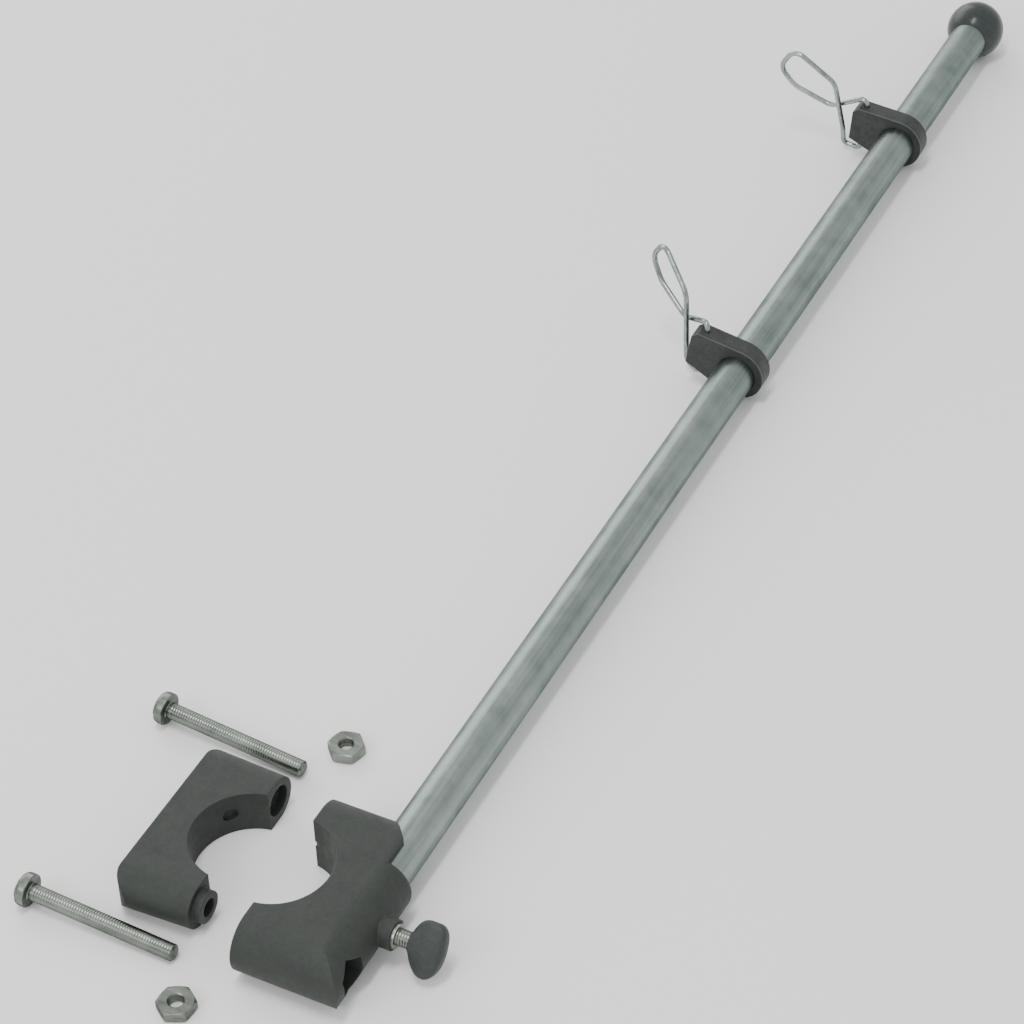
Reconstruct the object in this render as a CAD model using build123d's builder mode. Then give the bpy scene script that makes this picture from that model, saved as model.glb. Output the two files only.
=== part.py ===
"""Rail-mount flagstaff kit, lying flat with its clamp open.

Frame (millimetres): the origin is the centre of the rail bore of the clamp body.
+X runs along the pole towards the ball, +Y from the body towards the loose cap,
+Z is the rail's own axis, which is also up when the kit lies on a table.
"""
import os
from math import acos, asin, atan2, cos, degrees, hypot, radians, sin

from build123d import *

os.makedirs("parts", exist_ok=True)

# ---- driving dimensions ----
rail_radius = 31.75 / 2         # the clamp fits a 1-1/4 inch rail
pole_radius = 12.7 / 2          # 1/2 inch stainless tube
pole_wall = 1.2
pole_axis_y = -25.1             # the pole lies beside the rail bore
pole_start_x = -11.5            # blind end of the pole socket
ball_radius = 9.9
ball_x = 457.0
running_gap = 0.05              # radial clearance of every sliding or turning fit
through = 100.0                 # longer than the clamp, for cuts that go right through

# ---- clamp body ----
body_depth = 17.8               # size along the rail
body_split_y = -2.4             # face that looks at the cap
bolt_offset = 20.5              # bolt axes at x = +-20.5
socket_rim_x = 12.4
upper_arm_end_y = -27.0
upper_arm_bevel = (9.0, 7.5)    # size of the bevel on its free corner, along x and y
rim_round = 1.9
table_z = -body_depth / 2

# ---- clamp cap ----
cap_depth = 13.8                # the cap is thinner than the body along the rail
cap_split_y = 2.8               # its split face, measured from its own bore centre
cap_back_y = 25.8               # its outer face, measured the same way
cap_flare = 1.0                 # each end leans out by this much from split face to back
cap_corner_radius = 6.0
cap_rest = (6.0, 12.4, table_z + cap_depth / 2)     # its bore centre as it lies
dimple_bearing = 49.0           # a shallow round dimple in its rail hollow, from +X
dimple_radius = 2.2
dimple_depth = 1.0

# ---- bolts and nuts ----
bolt_radius = 4.8 / 2
bolt_hole_radius = 5.4 / 2
bolt_length = 44.45              # 1-3/4 inch under the head
bolt_head_radius = 9.5 / 2
bolt_head_height = 3.3
bolt_head_round = 1.6
bolt_tip_chamfer = 0.6
head_recess_radius = 10.6 / 2
head_recess_depth = 1.0
driver_slot_width = 1.5
driver_slot_depth = 1.6
nut_flats = 9.5
nut_pocket_flats = 9.9
nut_height = 3.2
nut_bevel_taper = 60            # degrees, of the bevel on its corners
nut_mouth_chamfer = 0.3
nut_thread_radius = 2.1
nut_pocket_end_y = -12.0
split_recess_radius = 9.2 / 2
split_recess_depth = 2.6
spigot_height = 2.4

# ---- thumbscrew ----
screw_x = -3.4
screw_radius = 2.4
boss_radius = 4.3
boss_end_y = -37.0
insert_radius = 3.1
insert_flange_radius = 3.5
insert_end_y = -37.8
insert_setback = 0.6            # its inner end stays this far behind the pole socket
screw_tip_gap = 0.1
shank_in_knob = 6.0
knob_start_y = -41.6
knob_end_y = -51.6
knob_half_width = 8.0
knob_thickness = 5.0
knob_neck_radius = 3.3
knob_neck_inset = 0.4           # the paddle starts this far along the neck, twice over
knob_angle = 50.0

# ---- flag clips ----
clip_thickness = 6.3
clip_ring_radius = 8.9
clip_end = 16.8                 # tab end, measured from the pole axis
clip_end_low = -3.6
clip_corner = 1.8
clip_pivot = 13.0               # hook pivot, measured from the pole axis
wire_radius = 0.85
wire_top_seat = 4.0
wire_low_seat = -1.5
wire_end_gap = 0.2              # between the wire's ends and the bottoms of their holes
clip_poses = {
    "lower": (246.6, 10.0, 32.0),   # x along the pole, roll about it, turn of the hook
    "upper": (382.6, 5.0, 0.0),
}

half_depth = body_depth / 2
body_half_length = bolt_offset + half_depth
socket_radius = pole_radius + running_gap
bolt_points = [(-bolt_offset, 0), (bolt_offset, 0)]


def xz_plane(y):
    """Plane whose normal is -Y, at the given y: sketch x is world x, sketch y is world z."""
    return Plane.XZ.offset(-y)


# ================= clamp body =================
body_end_y = pole_axis_y - half_depth

# tool that rounds the free side of the socket's rim
with BuildPart() as rim_cutter:
    with BuildSketch(Plane.XY):
        with BuildLine():
            rim_arc = RadiusArc(
                (socket_rim_x - rim_round, body_end_y),
                (socket_rim_x, body_end_y + rim_round),
                -rim_round,
            )
            Polyline(
                rim_arc @ 1,
                (socket_rim_x + 1, body_end_y + rim_round),
                (socket_rim_x + 1, body_end_y - 1),
                (socket_rim_x - rim_round, body_end_y - 1),
                rim_arc @ 0,
            )
        make_face()
    revolve(axis=Axis((0, pole_axis_y, 0), (1, 0, 0)))
    split(bisect_by=xz_plane(upper_arm_end_y), keep=Keep.TOP)

with BuildPart() as clamp_body:
    # slot-shaped block along the bolts
    with BuildSketch(xz_plane(body_split_y)):
        SlotCenterToCenter(2 * bolt_offset, body_depth)
    extrude(amount=body_split_y - body_end_y)
    # its far side is fully rounded about the pole
    with BuildSketch(Plane.YZ.offset(-through / 2)):
        with Locations(((body_split_y + pole_axis_y) / 2, 0)):
            Rectangle(body_split_y - pole_axis_y, body_depth)
        with Locations((pole_axis_y, 0)):
            Circle(half_depth)
    extrude(amount=through, mode=Mode.INTERSECT)
    # past the socket's rim only the upper bolt arm is left
    with BuildSketch(Plane.XY.offset(-half_depth)):
        with BuildLine():
            Polyline(
                (socket_rim_x, body_end_y - 5),
                (socket_rim_x, upper_arm_end_y),
                (body_half_length - upper_arm_bevel[0], upper_arm_end_y),
                (body_half_length, upper_arm_end_y + upper_arm_bevel[1]),
                (body_half_length + 5, upper_arm_end_y + upper_arm_bevel[1]),
                (body_half_length + 5, body_end_y - 5),
                close=True,
            )
        make_face()
    extrude(amount=body_depth, mode=Mode.SUBTRACT)
    add(rim_cutter.part, mode=Mode.SUBTRACT)
    # boss of the clamping screw
    with BuildSketch(xz_plane(pole_axis_y)):
        with Locations((screw_x, 0)):
            Circle(boss_radius)
    extrude(amount=pole_axis_y - boss_end_y)
    # rail bore
    with BuildSketch(Plane.XY.offset(-body_depth)):
        Circle(rail_radius)
    extrude(amount=2 * body_depth, mode=Mode.SUBTRACT)
    # pole bore, from its blind end out past the upper arm
    with BuildSketch(Plane.YZ.offset(pole_start_x)):
        with Locations((pole_axis_y, 0)):
            Circle(socket_radius)
    extrude(amount=through, mode=Mode.SUBTRACT)
    # bolt holes
    with BuildSketch(xz_plane(0)):
        with Locations(*bolt_points):
            Circle(bolt_hole_radius)
    extrude(amount=through, mode=Mode.SUBTRACT)
    # hexagon pockets that hold the nuts
    with BuildSketch(xz_plane(nut_pocket_end_y)):
        with Locations(*bolt_points):
            RegularPolygon(nut_pocket_flats / 2, 6, major_radius=False, rotation=30)
    extrude(amount=through, mode=Mode.SUBTRACT)
    # round recesses around the bolt holes in the split face
    with BuildSketch(xz_plane(body_split_y)):
        with Locations(*bolt_points):
            Circle(split_recess_radius + 0.3)
    extrude(amount=split_recess_depth, mode=Mode.SUBTRACT)
    # stepped hole of the threaded insert
    with BuildSketch(xz_plane(pole_axis_y)):
        with Locations((screw_x, 0)):
            Circle(insert_radius)
    extrude(amount=through, mode=Mode.SUBTRACT)
clamp_body.part.label = "clamp_body"

# ================= clamp cap =================
cap_plan_margin = 0.3           # keeps the plan outline clear of the columns' round sides
cap_split_half = bolt_offset + cap_depth / 2 + cap_plan_margin
cap_back_half = cap_split_half + cap_flare

with BuildPart() as clamp_cap:
    # plan outline, a little wider at the back, with rounded outer corners
    with BuildSketch(Plane.XY.offset(-cap_depth / 2)):
        with BuildLine():
            Polyline(
                (-cap_split_half, cap_split_y),
                (cap_split_half, cap_split_y),
                (cap_back_half, cap_back_y),
                (-cap_back_half, cap_back_y),
                close=True,
            )
        make_face()
        outer_corners = vertices().group_by(Axis.Y)[-1]
        fillet(outer_corners, radius=cap_corner_radius)
    extrude(amount=cap_depth)
    # bolt columns are round
    with BuildSketch(xz_plane(cap_split_y)):
        SlotCenterToCenter(2 * bolt_offset, cap_depth)
    with BuildSketch(xz_plane(cap_back_y)):
        SlotCenterToCenter(2 * (bolt_offset + cap_flare), cap_depth)
    loft(mode=Mode.INTERSECT)
    # a short spigot around the lower bolt hole finds the body's recess
    with BuildSketch(xz_plane(cap_split_y)):
        with Locations((-bolt_offset, 0)):
            Circle(split_recess_radius)
    extrude(amount=spigot_height)
    # rail bore
    with BuildSketch(Plane.XY.offset(-body_depth)):
        Circle(rail_radius)
    extrude(amount=2 * body_depth, mode=Mode.SUBTRACT)
    # bolt holes
    with BuildSketch(xz_plane(cap_back_y + 5)):
        with Locations(*bolt_points):
            Circle(bolt_hole_radius)
    extrude(amount=through, mode=Mode.SUBTRACT)
    # recesses for the bolt heads
    with BuildSketch(xz_plane(cap_back_y + 5)):
        with Locations(*bolt_points):
            Circle(head_recess_radius)
    extrude(amount=5 + head_recess_depth, mode=Mode.SUBTRACT)
    # recess around the upper bolt hole in the split face
    with BuildSketch(xz_plane(cap_split_y + split_recess_depth)):
        with Locations((bolt_offset, 0)):
            Circle(split_recess_radius)
    extrude(amount=10, mode=Mode.SUBTRACT)
    # dimple in the wall of the rail hollow
    dimple_way = (cos(radians(dimple_bearing)), sin(radians(dimple_bearing)), 0)
    dimple_centre = tuple((rail_radius - 1) * part for part in dimple_way)
    with BuildSketch(Plane(origin=dimple_centre, z_dir=dimple_way)):
        Circle(dimple_radius)
    extrude(amount=1 + dimple_depth, mode=Mode.SUBTRACT)
clamp_cap.part.locate(Location(cap_rest))
clamp_cap.part.label = "clamp_cap"

# ================= pole and ball =================
pole_end_x = ball_x - 2.0

with BuildPart() as pole_tube:
    with BuildSketch(Plane.YZ.offset(pole_start_x + 0.5)):
        with Locations((pole_axis_y, 0)):
            Circle(pole_radius)
            Circle(pole_radius - pole_wall, mode=Mode.SUBTRACT)
    extrude(amount=pole_end_x - pole_start_x - 0.5)
pole_tube.part.label = "pole_tube"

with BuildPart() as ball_finial:
    with Locations((ball_x, pole_axis_y, 0)):
        Sphere(ball_radius)
    with BuildSketch(Plane.YZ.offset(pole_end_x)):
        with Locations((pole_axis_y, 0)):
            Circle(pole_radius)
    extrude(amount=-ball_radius * 2, mode=Mode.SUBTRACT)
ball_finial.part.label = "ball_finial"

# ================= clamping screw =================
insert_start_y = pole_axis_y - socket_radius - insert_setback
with BuildPart() as screw_insert:
    with BuildSketch(xz_plane(insert_start_y)):
        with Locations((screw_x, 0)):
            Circle(insert_radius)
    extrude(amount=insert_start_y - boss_end_y)
    with BuildSketch(xz_plane(boss_end_y)):
        with Locations((screw_x, 0)):
            Circle(insert_flange_radius)
    extrude(amount=boss_end_y - insert_end_y)
    with BuildSketch(xz_plane(0)):
        with Locations((screw_x, 0)):
            Circle(screw_radius + running_gap)
    extrude(amount=through, mode=Mode.SUBTRACT)
screw_insert.part.label = "screw_insert"

screw_tip_y = pole_axis_y - pole_radius - screw_tip_gap
with BuildPart() as thumbscrew_shank:
    with BuildSketch(xz_plane(screw_tip_y)):
        with Locations((screw_x, 0)):
            Circle(screw_radius)
    extrude(amount=screw_tip_y - (knob_start_y - shank_in_knob))
thumbscrew_shank.part.label = "thumbscrew_shank"

# The knob is drawn upright in its own frame, screw axis along +Z, and turned afterwards.
knob_height = knob_start_y - knob_end_y
knob_mid = knob_height / 2
with BuildPart() as knob_blank:
    with BuildSketch(Plane.XZ.offset(-knob_thickness / 2)):
        with Locations((0, knob_mid + knob_neck_inset)):
            Ellipse(knob_half_width, knob_mid - knob_neck_inset)
    extrude(amount=knob_thickness)
    with BuildSketch(Plane.XY):
        Circle(knob_neck_radius)
    extrude(amount=knob_mid, taper=-2)
    with BuildSketch(Plane.XY):
        Circle(screw_radius + running_gap)
    extrude(amount=shank_in_knob + 0.2, mode=Mode.SUBTRACT)
knob_frame = Plane(
    origin=(screw_x, knob_start_y, 0),
    x_dir=(cos(radians(knob_angle)), 0, sin(radians(knob_angle))),
    z_dir=(0, -1, 0),
)
thumbscrew_knob = knob_blank.part.moved(knob_frame.location)
thumbscrew_knob.label = "thumbscrew_knob"


# ================= bolts and nuts =================
def bolt_solid():
    """Pan head machine screw along -Y, with the underside of its head at the origin."""
    with BuildPart() as bolt:
        with BuildSketch(Plane.XZ):
            Circle(bolt_radius)
        extrude(amount=bolt_length)
        with BuildSketch(Plane.XZ):
            Circle(bolt_head_radius)
        extrude(amount=-bolt_head_height)
        fillet(bolt.edges().filter_by(GeomType.CIRCLE).sort_by(Axis.Y)[-1], radius=bolt_head_round)
        chamfer(bolt.edges().filter_by(GeomType.CIRCLE).sort_by(Axis.Y)[0], length=bolt_tip_chamfer)
        with BuildSketch(Plane.XZ.offset(-bolt_head_height)):
            Rectangle(2 * bolt_head_radius, driver_slot_width)
        extrude(amount=driver_slot_depth, mode=Mode.SUBTRACT)
    return bolt.part


def nut_solid():
    """Plain hexagon nut standing on the XY plane, its corners bevelled on top."""
    with BuildPart() as nut:
        with BuildSketch(Plane.XY):
            RegularPolygon(nut_flats / 2, 6, major_radius=False)
        extrude(amount=nut_height)
        with BuildSketch(Plane.XY.offset(nut_height)):
            Circle(nut_flats / 2 - 0.1)
        extrude(amount=-2 * nut_height, taper=-nut_bevel_taper, mode=Mode.INTERSECT)
        with BuildSketch(Plane.XY):
            Circle(nut_thread_radius)
        extrude(amount=through, mode=Mode.SUBTRACT)
        chamfer(nut.edges().filter_by(GeomType.CIRCLE).sort_by(Axis.Z)[-1], length=nut_mouth_chamfer)
    return nut.part


# A loose bolt rests on the rim of its head and on its tip, so it leans by a few degrees.
bolt_lean = degrees(asin((bolt_head_radius - bolt_radius) / bolt_length))
bolt_rest_z = table_z + bolt_head_radius
bolt_places = {"upper": (45.3, 61.3, -3.0), "lower": (-28.3, 59.4, -0.7)}
nut_places = {"upper": (56.3, 10.9, -16.0), "lower": (-42.5, 6.4, -4.8)}

for side, (x, y, turn) in bolt_places.items():
    rest = Location((x, y, bolt_rest_z), (bolt_lean, 0, turn))
    bolt = bolt_solid().moved(rest)
    bolt.label = f"{side}_bolt"
    export_step(bolt, f"parts/{side}_bolt.step")

for side, (x, y, turn) in nut_places.items():
    nut = nut_solid().moved(Location((x, y, table_z), (0, 0, turn)))
    nut.label = f"{side}_nut"
    export_step(nut, f"parts/{side}_nut.step")


# ================= flag clips =================
wire_hole_radius = wire_radius + running_gap
clip_corner_bearing = atan2(clip_end_low, clip_end)
clip_corner_reach = hypot(clip_end, clip_end_low)
tangent_bearing = clip_corner_bearing - acos(clip_ring_radius / clip_corner_reach)
clip_tangent = (
    clip_ring_radius * cos(tangent_bearing),
    clip_ring_radius * sin(tangent_bearing),
)

# Clip plate in its own frame: the pole along X, the tab along +Y, the hook's pivot along Z.
with BuildPart() as clip_blank:
    with BuildSketch(Plane.YZ.offset(-clip_thickness / 2)):
        Circle(clip_ring_radius)
        with BuildLine():
            Polyline(
                (0, clip_ring_radius),
                (clip_end - clip_corner, clip_ring_radius),
                (clip_end, clip_ring_radius - clip_corner),
                (clip_end, clip_end_low),
                clip_tangent,
                (0, 0),
                close=True,
            )
        make_face()
        Circle(socket_radius, mode=Mode.SUBTRACT)
    extrude(amount=clip_thickness)
    # holes for the two ends of the hook
    with BuildSketch(Plane.XY.offset(wire_top_seat)):
        with Locations((0, clip_pivot)):
            Circle(wire_hole_radius)
    extrude(amount=through, mode=Mode.SUBTRACT)
    with BuildSketch(Plane.XY.offset(wire_low_seat)):
        with Locations((0, clip_pivot)):
            Circle(wire_hole_radius)
    extrude(amount=-through, mode=Mode.SUBTRACT)

# One bent wire: out of the tab's top, round the loop, across itself and up into the
# tab's underside. Each point is (sideways, outward from the pivot, up).
hook_corners = [
    (0.0, 0.0, 12.6),
    (1.3, 13.0, 3.6),
    (0.6, 27.0, 7.4),
    (0.0, 32.8, 13.6),
    (-0.4, 28.3, 22.4),
    (-1.0, 12.2, 14.6),
    (-1.0, 7.0, -2.0),
    (0.0, 6.3, -8.6),
    (0.0, 0.0, -8.6),
]
hook_bends = [1.8, 5.0, 8.0, 4.5, 4.0, 6.0, 12.0, 2.0, 2.0]
hook_start = (0.0, 0.0, wire_top_seat + wire_end_gap)
hook_finish = (0.0, 0.0, wire_low_seat - wire_end_gap)
with BuildPart() as hook_blank:
    with BuildLine() as hook_line:
        FilletPolyline(hook_start, *hook_corners, hook_finish, radius=hook_bends)
    with BuildSketch(Plane.XY.offset(wire_top_seat + wire_end_gap)):
        Circle(wire_radius)
    sweep(path=hook_line.line)

# ================= placing and writing =================
for level, (x, roll, turn) in clip_poses.items():
    on_pole = Location((x, pole_axis_y, 0), (roll, 0, 0))
    clip = clip_blank.part.moved(on_pole)
    clip.label = f"{level}_clip"
    export_step(clip, f"parts/{level}_clip.step")
    on_clip = on_pole * Location((0, clip_pivot, 0), (0, 0, -turn))
    hook = hook_blank.part.moved(on_clip)
    hook.label = f"{level}_clip_hook"
    export_step(hook, f"parts/{level}_clip_hook.step")

for node in (clamp_body, clamp_cap, pole_tube, ball_finial, screw_insert, thumbscrew_shank):
    export_step(node.part, f"parts/{node.part.label}.step")
export_step(thumbscrew_knob, "parts/thumbscrew_knob.step")
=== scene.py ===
"""Looks of the rail mount flagpole kit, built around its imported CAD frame."""
import math

import bmesh
import bpy
from mathutils import Matrix, Vector


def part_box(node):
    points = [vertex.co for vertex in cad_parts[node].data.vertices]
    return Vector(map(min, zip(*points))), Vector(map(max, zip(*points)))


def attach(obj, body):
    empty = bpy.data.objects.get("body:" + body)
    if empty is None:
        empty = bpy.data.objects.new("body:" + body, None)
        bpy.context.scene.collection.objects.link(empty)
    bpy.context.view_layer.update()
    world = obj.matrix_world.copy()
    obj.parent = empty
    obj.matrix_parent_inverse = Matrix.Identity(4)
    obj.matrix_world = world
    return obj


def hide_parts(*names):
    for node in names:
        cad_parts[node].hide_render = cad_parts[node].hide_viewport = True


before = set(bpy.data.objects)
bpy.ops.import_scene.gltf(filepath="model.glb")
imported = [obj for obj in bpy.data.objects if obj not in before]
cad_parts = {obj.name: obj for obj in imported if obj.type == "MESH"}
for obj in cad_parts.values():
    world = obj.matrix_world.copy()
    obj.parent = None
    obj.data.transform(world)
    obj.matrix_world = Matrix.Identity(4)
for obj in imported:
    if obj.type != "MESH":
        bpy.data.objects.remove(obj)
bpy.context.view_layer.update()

MM = 0.001
SHARP_ANGLE = math.radians(35)

# The thread of the bolts, the nuts and the thumbscrew. Its depth is only what shows.
THREAD_PITCH = 0.79375 * MM
THREAD_DEPTH = 0.08 * MM
THREAD_RADIUS = 2.4 * MM
ROUND_SIDES = 40

# Noise scales of the moulded finish, in cycles per metre
BLOTCH_SCALE = 140.0
SPECK_SCALE = 900.0
GRAIN_SCALE = 2600.0
RIPPLE_SCALE = 240.0
GLOSS_PATCH_SCALE = 420.0


# ---------------------------------------------------------------- materials
class Nodes:
    """A new material with a Principled shader, and short calls that add nodes to it."""

    def __init__(self, name):
        self.material = bpy.data.materials.new(name)
        self.material.use_nodes = True
        self.tree = self.material.node_tree
        self.tree.nodes.clear()
        self.output = self.tree.nodes.new("ShaderNodeOutputMaterial")
        self.shader = self.tree.nodes.new("ShaderNodeBsdfPrincipled")
        self.link(self.shader.outputs["BSDF"], self.output.inputs["Surface"])
        self.position = self.tree.nodes.new("ShaderNodeTexCoord").outputs["Object"]

    def link(self, source, target):
        self.tree.links.new(source, target)

    def set(self, **sockets):
        for name, value in sockets.items():
            self.shader.inputs[name.replace("_", " ")].default_value = value

    def stretched(self, scale):
        """Object coordinates multiplied by scale, so that a texture becomes streaks."""
        mapping = self.tree.nodes.new("ShaderNodeMapping")
        mapping.inputs["Scale"].default_value = scale
        self.link(self.position, mapping.inputs["Vector"])
        return mapping.outputs["Vector"]

    def noise(self, scale, detail=3.0, roughness=0.55, vector=None):
        node = self.tree.nodes.new("ShaderNodeTexNoise")
        node.inputs["Scale"].default_value = scale
        node.inputs["Detail"].default_value = detail
        node.inputs["Roughness"].default_value = roughness
        self.link(vector or self.position, node.inputs["Vector"])
        return node.outputs["Fac"]

    def ranged(self, value, low, high, to_low, to_high):
        node = self.tree.nodes.new("ShaderNodeMapRange")
        for name, number in (
            ("From Min", low), ("From Max", high), ("To Min", to_low), ("To Max", to_high),
        ):
            node.inputs[name].default_value = number
        self.link(value, node.inputs["Value"])
        return node.outputs["Result"]

    def math(self, operation, a, b):
        node = self.tree.nodes.new("ShaderNodeMath")
        node.operation = operation
        for socket, value in zip(node.inputs, (a, b)):
            if isinstance(value, (int, float)):
                socket.default_value = value
            else:
                self.link(value, socket)
        return node.outputs["Value"]

    def mixed(self, factor, low, high):
        """Colour between two others. Each is a colour or the output of another node."""
        node = self.tree.nodes.new("ShaderNodeMix")
        node.data_type = "RGBA"
        self.link(factor, node.inputs["Factor"])
        colours = [s for s in node.inputs if s.type == "RGBA"]
        for socket, value in zip(colours, (low, high)):
            if isinstance(value, tuple):
                socket.default_value = (*value, 1.0)
            else:
                self.link(value, socket)
        return next(s for s in node.outputs if s.type == "RGBA")

    def edge_mask(self, radius, strength):
        """Two outputs: 1 along edges and 0 on open faces, and a normal rounded at the edges."""
        bevel = self.tree.nodes.new("ShaderNodeBevel")
        bevel.samples = 8
        bevel.inputs["Radius"].default_value = radius
        geometry = self.tree.nodes.new("ShaderNodeNewGeometry")
        dot = self.tree.nodes.new("ShaderNodeVectorMath")
        dot.operation = "DOT_PRODUCT"
        self.link(bevel.outputs["Normal"], dot.inputs[0])
        self.link(geometry.outputs["Normal"], dot.inputs[1])
        mask = self.ranged(dot.outputs["Value"], 1.0 - strength, 1.0, 1.0, 0.0)
        return mask, bevel.outputs["Normal"]

    def bump(self, height, distance, strength=1.0, normal=None):
        node = self.tree.nodes.new("ShaderNodeBump")
        node.inputs["Strength"].default_value = strength
        node.inputs["Distance"].default_value = distance
        self.link(height, node.inputs["Height"])
        if normal is not None:
            self.link(normal, node.inputs["Normal"])
        return node.outputs["Normal"]


def moulded(name, dark, light, roughness, edge_radius, grain=0.05 * MM, painted_highlight_ridge_x=None):
    """Moulded plastic: faint mottling, fine grain, softly rounded edges, and edges lightened in
    the base colour as a painted highlight.

    The last argument is the x of a raised line near the front edge, painted lighter as a
    highlight, for a piece that shows one.
    """
    n = Nodes(name)
    mask, rounded = n.edge_mask(edge_radius, 0.12)
    mottle = n.math("ADD", n.noise(BLOTCH_SCALE, 3.0, 0.6), n.noise(SPECK_SCALE, 3.0, 0.6))
    base = n.mixed(n.ranged(mottle, 0.75, 1.25, 0.0, 1.0), dark, light)
    # painted highlight: the base colour is lighter along the edges, where light would catch them
    painted_edge_highlight = tuple(c * 1.9 for c in light)
    base = n.mixed(n.math("MULTIPLY", mask, 0.3), base, painted_edge_highlight)
    fine = n.bump(n.noise(GRAIN_SCALE, 2.0, 0.5), grain, 0.55, rounded)
    normal = n.bump(n.noise(RIPPLE_SCALE, 2.0, 0.5), 0.12 * MM, 0.35, fine)
    if painted_highlight_ridge_x is not None:
        split = n.tree.nodes.new("ShaderNodeSeparateXYZ")
        n.link(n.position, split.inputs["Vector"])
        away = n.math("ABSOLUTE", n.math("SUBTRACT", split.outputs["X"], painted_highlight_ridge_x), 0.0)
        ridge = n.ranged(away, 0.08 * MM, 0.30 * MM, 1.0, 0.0)
        # painted highlight: the raised line's colour is lightened to stand for light caught on
        # the clip's front edge; its bump is real relief
        painted_ridge_highlight = tuple(c * 3.2 for c in light)
        base = n.mixed(n.math("MULTIPLY", ridge, 0.55), base, painted_ridge_highlight)
        normal = n.bump(ridge, 0.15 * MM, 0.8, normal)
    n.link(base, n.shader.inputs["Base Color"])
    n.link(normal, n.shader.inputs["Normal"])
    patches = n.noise(GLOSS_PATCH_SCALE, 3.0, 0.6)
    rough = n.ranged(patches, 0.3, 0.7, roughness - 0.06, roughness + 0.08)
    n.link(n.math("SUBTRACT", rough, n.math("MULTIPLY", mask, 0.1)), n.shader.inputs["Roughness"])
    n.set(IOR=1.5, Specular_IOR_Level=0.3)
    return n.material


def brushed(name, dark, light, roughness, streak, depth=0.012 * MM):
    """Metal with streaks: streak is the scale of the grain on X, Y and Z, depth its relief."""
    n = Nodes(name)
    mask, rounded = n.edge_mask(0.12 * MM, 0.2)
    grain = n.noise(1.0, 4.0, 0.65, n.stretched(streak))
    cloud = n.noise(110.0, 4.0, 0.6)
    tone = n.math("ADD", n.math("MULTIPLY", grain, 0.5), n.math("MULTIPLY", cloud, 0.5))
    base = n.mixed(n.ranged(tone, 0.36, 0.64, 0.0, 1.0), dark, light)
    # painted highlight: the base colour is lighter along the edges
    painted_metal_edge_highlight = tuple(min(1.0, c * 1.3) for c in light)
    n.link(n.mixed(n.math("MULTIPLY", mask, 0.5), base, painted_metal_edge_highlight), n.shader.inputs["Base Color"])
    n.link(
        n.ranged(tone, 0.35, 0.65, roughness - 0.06, roughness + 0.1),
        n.shader.inputs["Roughness"],
    )
    n.link(n.bump(grain, depth, 0.6, rounded), n.shader.inputs["Normal"])
    n.set(Metallic=1.0, Specular_Tint=(0.35, 0.37, 0.36, 1.0))
    return n.material


def clip_nylon(level, painted_highlight_ridge_x):
    return moulded(
        f"nylon_{level}_clip", (0.024, 0.027, 0.026), (0.042, 0.046, 0.044), 0.5, 0.3 * MM,
        painted_highlight_ridge_x=painted_highlight_ridge_x,
    )


NYLON = moulded("nylon_charcoal", (0.028, 0.032, 0.029), (0.036, 0.041, 0.037), 0.58, 0.55 * MM)
LOWER_CLIP = clip_nylon("lower", 243.75 * MM)
UPPER_CLIP = clip_nylon("upper", 379.75 * MM)
KNOB = moulded("nylon_knob", (0.031, 0.036, 0.035), (0.042, 0.048, 0.047), 0.5, 0.3 * MM)
BALL = moulded(
    "ball_black", (0.024, 0.030, 0.029), (0.040, 0.048, 0.046), 0.26, 0.3 * MM, 0.01 * MM,
)
POLE = brushed(
    "pole_brushed", (0.19, 0.235, 0.22), (0.33, 0.375, 0.355), 0.36, (12.0, 900.0, 900.0),
)
WIRE = brushed(
    "wire_drawn", (0.20, 0.235, 0.225), (0.44, 0.475, 0.46), 0.26, (300.0, 300.0, 300.0),
)
BOLT = brushed(
    "bolt_steel", (0.13, 0.145, 0.13), (0.29, 0.31, 0.28), 0.32, (700.0, 25.0, 700.0),
    depth=0.004 * MM,
)
TURNED = brushed(
    "insert_turned", (0.30, 0.31, 0.28), (0.52, 0.53, 0.49), 0.3, (900.0, 200.0, 900.0),
)


# ---------------------------------------------------------------- mesh helpers
def piece_from_rings(name, rings, matrix, material, loop=False):
    """Closed mesh through rings of points, each ring with the same number of points.

    The two end rings are filled, or joined to each other when loop is true.
    """
    mesh = bpy.data.meshes.new(name)
    bm = bmesh.new()
    rows = [[bm.verts.new(p) for p in ring] for ring in rings]
    count = len(rings[0])
    pairs = list(zip(rows, rows[1:]))
    if loop:
        pairs.append((rows[-1], rows[0]))
    for lower, upper in pairs:
        for i in range(count):
            k = (i + 1) % count
            bm.faces.new((lower[i], lower[k], upper[k], upper[i]))
    if not loop:
        bm.faces.new(list(reversed(rows[0])))
        bm.faces.new(rows[-1])
    bmesh.ops.recalc_face_normals(bm, faces=bm.faces)
    bm.to_mesh(mesh)
    bm.free()
    for polygon in mesh.polygons:
        polygon.use_smooth = True
    mesh.set_sharp_from_angle(angle=SHARP_ANGLE)
    mesh.transform(matrix)
    mesh.materials.append(material)
    thing = bpy.data.objects.new(name, mesh)
    bpy.context.scene.collection.objects.link(thing)
    return thing


def ring(radius, height, count):
    """Points round +Z. radius is a number or a function of the angle."""
    angles = [2 * math.pi * i / count for i in range(count)]
    size = radius if callable(radius) else (lambda a: radius)
    return [Vector((size(a) * math.cos(a), size(a) * math.sin(a), height)) for a in angles]


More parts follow.
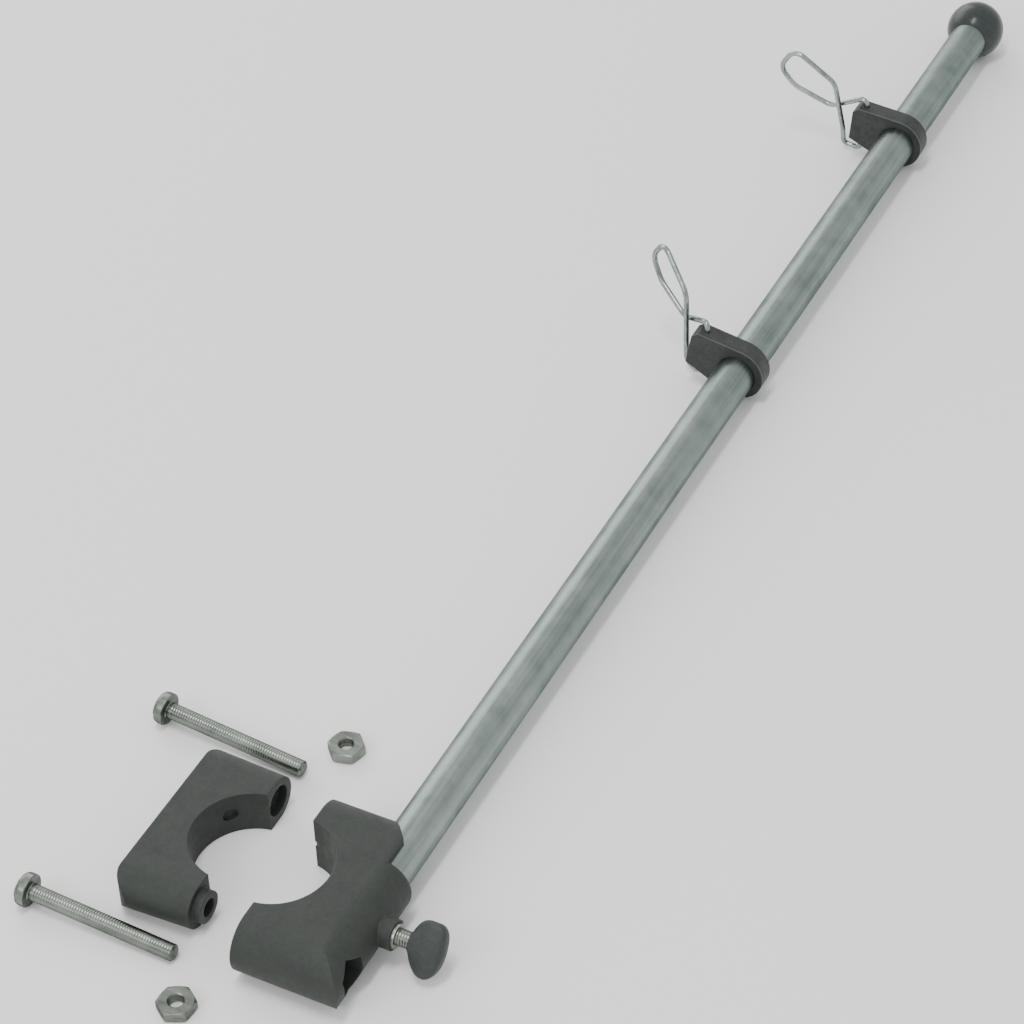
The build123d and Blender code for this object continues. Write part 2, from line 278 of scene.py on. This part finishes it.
def thread_radius(outer, height, start, end, inner=False):
    """Radius by angle of a right-hand thread at this height, fading out at start and end.

    An outer thread is cut in from its radius, and an inner one is cut out from it.
    """
    fade = max(0.0, min(1.0, (height - start) / THREAD_PITCH, (end - height) / THREAD_PITCH))

    def radius(angle):
        phase = (height / THREAD_PITCH - angle / (2 * math.pi)) % 1.0
        wave = abs(2.0 * phase - 1.0)
        cut = max(0.0, min(1.0, 1.25 * wave - 0.125))  # flat at its crest and at its root
        return outer - THREAD_DEPTH * fade * (-cut if inner else cut)

    return radius


def threaded_rings(outer, start, end, count, inner=False):
    rings_per_turn = 10
    steps = int(rings_per_turn * (end - start) / THREAD_PITCH)
    heights = [start + (end - start) * i / steps for i in range(steps + 1)]
    return [ring(thread_radius(outer, h, start, end, inner), h, count) for h in heights]


def bolt_tip(node):
    """Direction of a CAD bolt's axis, from its head to its tip, and the centre of the tip."""
    points = [v.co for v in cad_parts[node].data.vertices]
    direction = Vector((0, -1, 0))
    for _ in range(20):  # each round finds the two ends better
        low = min(p.dot(direction) for p in points)
        high = max(p.dot(direction) for p in points)
        margin = (high - low) * 0.02
        ends = []
        for near in (
            [p for p in points if p.dot(direction) < low + margin],
            [p for p in points if p.dot(direction) > high - margin],
        ):
            box_low = Vector([min(p[i] for p in near) for i in range(3)])
            box_high = Vector([max(p[i] for p in near) for i in range(3)])
            ends.append((box_low + box_high) / 2)
        direction = (ends[1] - ends[0]).normalized()
    tip_points = [p for p in points if p.dot(direction) > high - 0.3 * MM]
    tip = sum(tip_points, Vector()) / len(tip_points)
    return direction, tip + direction * (high - tip.dot(direction))


# ---------------------------------------------------------------- bolts
BOLT_LENGTH = 44.45 * MM
BOLT_TIP_CHAMFER = 0.6 * MM
HEAD_RADIUS = 4.75 * MM
HEAD_HEIGHT = 3.3 * MM
HEAD_ROUND = 1.6 * MM
SLOT_WIDTH = 1.5 * MM
SLOT_DEPTH = 1.6 * MM


def bolt(name, node):
    """Slotted pan head screw with its thread, in the place of its CAD node."""
    direction, tip = bolt_tip(node)
    head_top = tip - direction * (BOLT_LENGTH + HEAD_HEIGHT)
    turn = direction.to_track_quat("Z", "Y").to_matrix().to_4x4()
    matrix = Matrix.Translation(head_top) @ turn

    rings = []
    steps = 8
    for step in range(steps + 1):
        angle = math.pi / 2 * step / steps
        radius = HEAD_RADIUS - HEAD_ROUND * (1 - math.sin(angle))
        rings.append(ring(radius, HEAD_ROUND * (1 - math.cos(angle)), ROUND_SIDES))
    for radius, height in (
        (HEAD_RADIUS, HEAD_HEIGHT - 0.25 * MM),
        (HEAD_RADIUS - 0.2 * MM, HEAD_HEIGHT),
        (THREAD_RADIUS + 0.15 * MM, HEAD_HEIGHT),
        (THREAD_RADIUS - 0.02 * MM, HEAD_HEIGHT + 0.25 * MM),
    ):
        rings.append(ring(radius, height, ROUND_SIDES))
    thread_end = HEAD_HEIGHT + BOLT_LENGTH - BOLT_TIP_CHAMFER
    rings += threaded_rings(THREAD_RADIUS, HEAD_HEIGHT + 1.0 * MM, thread_end, ROUND_SIDES)
    tip_radius = THREAD_RADIUS - BOLT_TIP_CHAMFER
    rings.append(ring(tip_radius, HEAD_HEIGHT + BOLT_LENGTH, ROUND_SIDES))
    thing = piece_from_rings(name, rings, Matrix.Identity(4), BOLT)

    slot = bmesh.new()
    bmesh.ops.create_cube(slot, size=1.0)
    size = (2.4 * HEAD_RADIUS, SLOT_WIDTH, 2 * SLOT_DEPTH)
    bmesh.ops.scale(slot, vec=size, verts=slot.verts)
    slot_mesh = bpy.data.meshes.new(name + "_slot")
    slot.to_mesh(slot_mesh)
    slot.free()
    cutter = bpy.data.objects.new(name + "_slot", slot_mesh)
    bpy.context.scene.collection.objects.link(cutter)
    cut = thing.modifiers.new("slot", "BOOLEAN")
    cut.operation = "DIFFERENCE"
    cut.solver = "EXACT"
    cut.object = cutter
    bpy.context.view_layer.update()
    graph = bpy.context.evaluated_depsgraph_get()
    finished = bpy.data.meshes.new_from_object(thing.evaluated_get(graph))
    thing.modifiers.clear()
    thing.data = finished
    bpy.data.objects.remove(cutter)
    finished.transform(matrix)
    finished.set_sharp_from_angle(angle=SHARP_ANGLE)
    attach(thing, node)
    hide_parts(node)


bolt("upper_bolt_threaded", "upper_bolt")
bolt("lower_bolt_threaded", "lower_bolt")


# ---------------------------------------------------------------- nuts
NUT_HALF_FLATS = 4.75 * MM
NUT_HEIGHT = 3.2 * MM
NUT_FACE_RADIUS = NUT_HALF_FLATS - 0.1 * MM
NUT_BORE = 2.1 * MM
NUT_BORE_MOUTH = NUT_BORE + 0.35 * MM
NUT_SIDES = 96
NUT_TURNS = {"upper_nut": -16.0, "lower_nut": -4.8}


def nut(name, node):
    """Plain hexagon nut, chamfered on both sides, with a thread in its hole."""
    low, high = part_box(node)
    centre = (low + high) / 2
    centre.z = low.z
    sixth = math.pi / 3

    def hexagon(angle):
        return NUT_HALF_FLATS / math.cos((angle % sixth) - sixth / 2)

    def crown(base, sign):
        """The hexagon's outline, turned down at 30 degrees towards its corners."""
        points = []
        for p in ring(hexagon, base, NUT_SIDES):
            drop = max(0.0, p.xy.length - NUT_FACE_RADIUS) * math.tan(sixth / 2)
            points.append(Vector((p.x, p.y, base - sign * drop)))
        return points

    rings = threaded_rings(NUT_BORE, 0.3 * MM, NUT_HEIGHT - 0.3 * MM, NUT_SIDES, inner=True)
    rings.append(ring(NUT_BORE_MOUTH, NUT_HEIGHT, NUT_SIDES))
    rings.append(ring(NUT_FACE_RADIUS, NUT_HEIGHT, NUT_SIDES))
    rings.append(crown(NUT_HEIGHT, 1))
    rings.append(crown(0.0, -1))
    rings.append(ring(NUT_FACE_RADIUS, 0.0, NUT_SIDES))
    rings.append(ring(NUT_BORE_MOUTH, 0.0, NUT_SIDES))
    turn = Matrix.Rotation(math.radians(NUT_TURNS[node]), 4, "Z")
    thing = piece_from_rings(name, rings, Matrix.Translation(centre) @ turn, BOLT, loop=True)
    thing.data.set_sharp_from_angle(angle=math.radians(25))
    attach(thing, node)
    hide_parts(node)


nut("upper_nut_threaded", "upper_nut")
nut("lower_nut_threaded", "lower_nut")


# ---------------------------------------------------------------- thumbscrew
KNOB_ANGLE = math.radians(50.0)
KNOB_UPPER_REACH = 7.0 * MM
KNOB_LOWER_REACH = 8.4 * MM
KNOB_HALF_THICK = 2.5 * MM
KNOB_NECK = 3.0 * MM
KNOB_MIDDLE = 5.4 * MM      # height of its widest section above the neck's end
KNOB_REACH = 4.6 * MM       # from there to the outer edge
SHANK_TIP_RADIUS = 1.9 * MM
knob_low, knob_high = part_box("thumbscrew_knob")
shank_low, shank_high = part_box("thumbscrew_shank")
screw_x = (shank_low.x + shank_high.x) / 2
screw_z = (shank_low.z + shank_high.z) / 2
screw_frame = Matrix((
    (math.cos(KNOB_ANGLE), math.sin(KNOB_ANGLE), 0.0, screw_x),
    (0.0, 0.0, -1.0, knob_high.y),
    (math.sin(KNOB_ANGLE), -math.cos(KNOB_ANGLE), 0.0, screw_z),
    (0.0, 0.0, 0.0, 1.0),
))


def knob_rings():
    """Sections of the paddle across the screw's axis, from the neck to the outer edge.

    Each section has a squarer half above (+X) and an oval half below, about a stem that
    thins as it goes up. It turns from round at the neck to a flat, squarish paddle.
    """
    height = knob_high.y - knob_low.y
    count = 72
    rings = []
    steps = 48
    for step in range(steps + 1):
        z = height * (0.5 - 0.5 * math.cos(math.pi * step / steps))
        outer = max(0.0, z - KNOB_MIDDLE) / KNOB_REACH
        across = outer if z > KNOB_MIDDLE else (KNOB_MIDDLE - z) / KNOB_MIDDLE
        stem = KNOB_NECK * (1.0 - 0.5 * min(1.0, z / KNOB_MIDDLE))
        oval = KNOB_LOWER_REACH * math.sqrt(max(0.0, 1.0 - across ** 2.0))
        square = KNOB_UPPER_REACH * max(0.0, 1.0 - across ** 3.4) ** 0.5
        edge = math.sqrt(max(0.0, 1.0 - outer ** 6))
        blend = min(1.0, z / KNOB_REACH)
        blend = blend * blend * (3.0 - 2.0 * blend)
        thick = max((stem * (1.0 - blend) + KNOB_HALF_THICK * blend) * edge, 0.15 * MM)
        power = 2.0 + 0.9 * blend
        points = []
        for i in range(count):
            a = 2 * math.pi * i / count
            c, s = math.cos(a), math.sin(a)
            side, most = (square, KNOB_UPPER_REACH) if c > 0 else (oval, KNOB_LOWER_REACH)
            wide = max((side ** 3 + stem ** 3) ** (1 / 3) * min(1.0, 0.25 + edge), 0.3 * MM)
            wide = min(wide, most)
            x = wide * math.copysign(abs(c) ** (2 / power), c)
            y = thick * math.copysign(abs(s) ** (2 / power), s)
            points.append(Vector((x, y, z)))
        rings.append(points)
    return rings


knob = piece_from_rings("thumbscrew_paddle", knob_rings(), screw_frame, KNOB)
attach(knob, "knob")
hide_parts("thumbscrew_knob")

shank_length = shank_high.y - shank_low.y
shank_frame = Matrix.Translation((screw_x, shank_high.y, screw_z)) @ Matrix.Rotation(
    math.radians(90), 4, "X"
)
shank_rings = [ring(SHANK_TIP_RADIUS, 0.0, ROUND_SIDES)]
shank_rings += threaded_rings(THREAD_RADIUS, 0.4 * MM, shank_length, ROUND_SIDES)
shank = piece_from_rings("thumbscrew_thread", shank_rings, shank_frame, BOLT)
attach(shank, "thumbscrew")
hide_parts("thumbscrew_shank")


# ---------------------------------------------------------------- CAD nodes that stay
FINISHES = {
    "clamp_body": NYLON,
    "clamp_cap": NYLON,
    "screw_insert": TURNED,
    "pole_tube": POLE,
    "ball_finial": BALL,
    "lower_clip": LOWER_CLIP,
    "upper_clip": UPPER_CLIP,
    "lower_clip_hook": WIRE,
    "upper_clip_hook": WIRE,
}
for node, material in FINISHES.items():
    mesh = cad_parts[node].data
    mesh.materials.clear()
    mesh.materials.append(material)


# ---------------------------------------------------------------- floor, lights, camera
# The clamp and the ball both stand on the floor, so the floor leans a very little.
FLOOR_HALF = 4.0
FLOOR_GAP = 0.05 * MM
ball_low, ball_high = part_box("ball_finial")
clamp_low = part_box("clamp_body")[0]
ball_x = (ball_low.x + ball_high.x) / 2
slope = (ball_low.z - clamp_low.z) / (ball_x - clamp_low.x)
floor_mesh = bpy.data.meshes.new("floor")
corners = [
    (-FLOOR_HALF, -FLOOR_HALF),
    (FLOOR_HALF, -FLOOR_HALF),
    (FLOOR_HALF, FLOOR_HALF),
    (-FLOOR_HALF, FLOOR_HALF),
]
floor_mesh.from_pydata(
    [(x, y, clamp_low.z - FLOOR_GAP + slope * (x - clamp_low.x)) for x, y in corners],
    [],
    [(0, 1, 2, 3)],
)
floor = bpy.data.objects.new("floor", floor_mesh)
bpy.context.scene.collection.objects.link(floor)
paper = Nodes("floor_paper")
paper.link(
    paper.mixed(paper.noise(3.0), (0.90, 0.90, 0.89), (0.93, 0.93, 0.92)),
    paper.shader.inputs["Base Color"],
)
paper.set(Roughness=0.9)
floor_mesh.materials.append(paper.material)

LIGHTS_AIM = Vector((0.2, 0.0, 0.0))


def softbox(name, place, size, power):
    """White area light at place, turned towards the middle of the object."""
    light = bpy.data.lights.new(name, "AREA")
    light.shape = "RECTANGLE"
    light.size, light.size_y = size
    light.energy = power
    thing = bpy.data.objects.new(name, light)
    thing.location = place
    thing.rotation_mode = "QUATERNION"
    thing.rotation_quaternion = (LIGHTS_AIM - Vector(place)).to_track_quat("-Z", "Y")
    bpy.context.scene.collection.objects.link(thing)


softbox("key", (-0.10, 0.05, 1.35), (0.16, 0.55), 8.0)
softbox("side", (0.9, 1.0, 0.55), (1.4, 0.8), 9.0)
softbox("left", (-0.9, 0.35, 0.75), (0.8, 0.4), 4.0)

world = bpy.data.worlds.new("studio")
world.use_nodes = True
sky = world.node_tree.nodes["Background"]
sky.inputs["Color"].default_value = (0.93, 0.95, 0.94, 1.0)
sky.inputs["Strength"].default_value = 0.98
bpy.context.scene.world = world

CAMERA_LENS = 110.62
CAMERA_SENSOR = 36.0
CAMERA_PLACE = Vector((-0.46066, -0.31617, 0.62262))
CAMERA_BACK = Vector((-0.65997, -0.34813, 0.66599))
CAMERA_RIGHT = Vector((0.44708, -0.89446, -0.02447))

camera_data = bpy.data.cameras.new("camera")
camera_data.lens = CAMERA_LENS
camera_data.sensor_width = CAMERA_SENSOR
camera_data.clip_start, camera_data.clip_end = 0.05, 20.0
camera = bpy.data.objects.new("camera", camera_data)
back = CAMERA_BACK.normalized()
up = back.cross(CAMERA_RIGHT.normalized()).normalized()
right = up.cross(back)
turn = Matrix((right, up, back)).transposed().to_4x4()
camera.matrix_world = Matrix.Translation(CAMERA_PLACE) @ turn
bpy.context.scene.collection.objects.link(camera)
bpy.context.scene.camera = camera
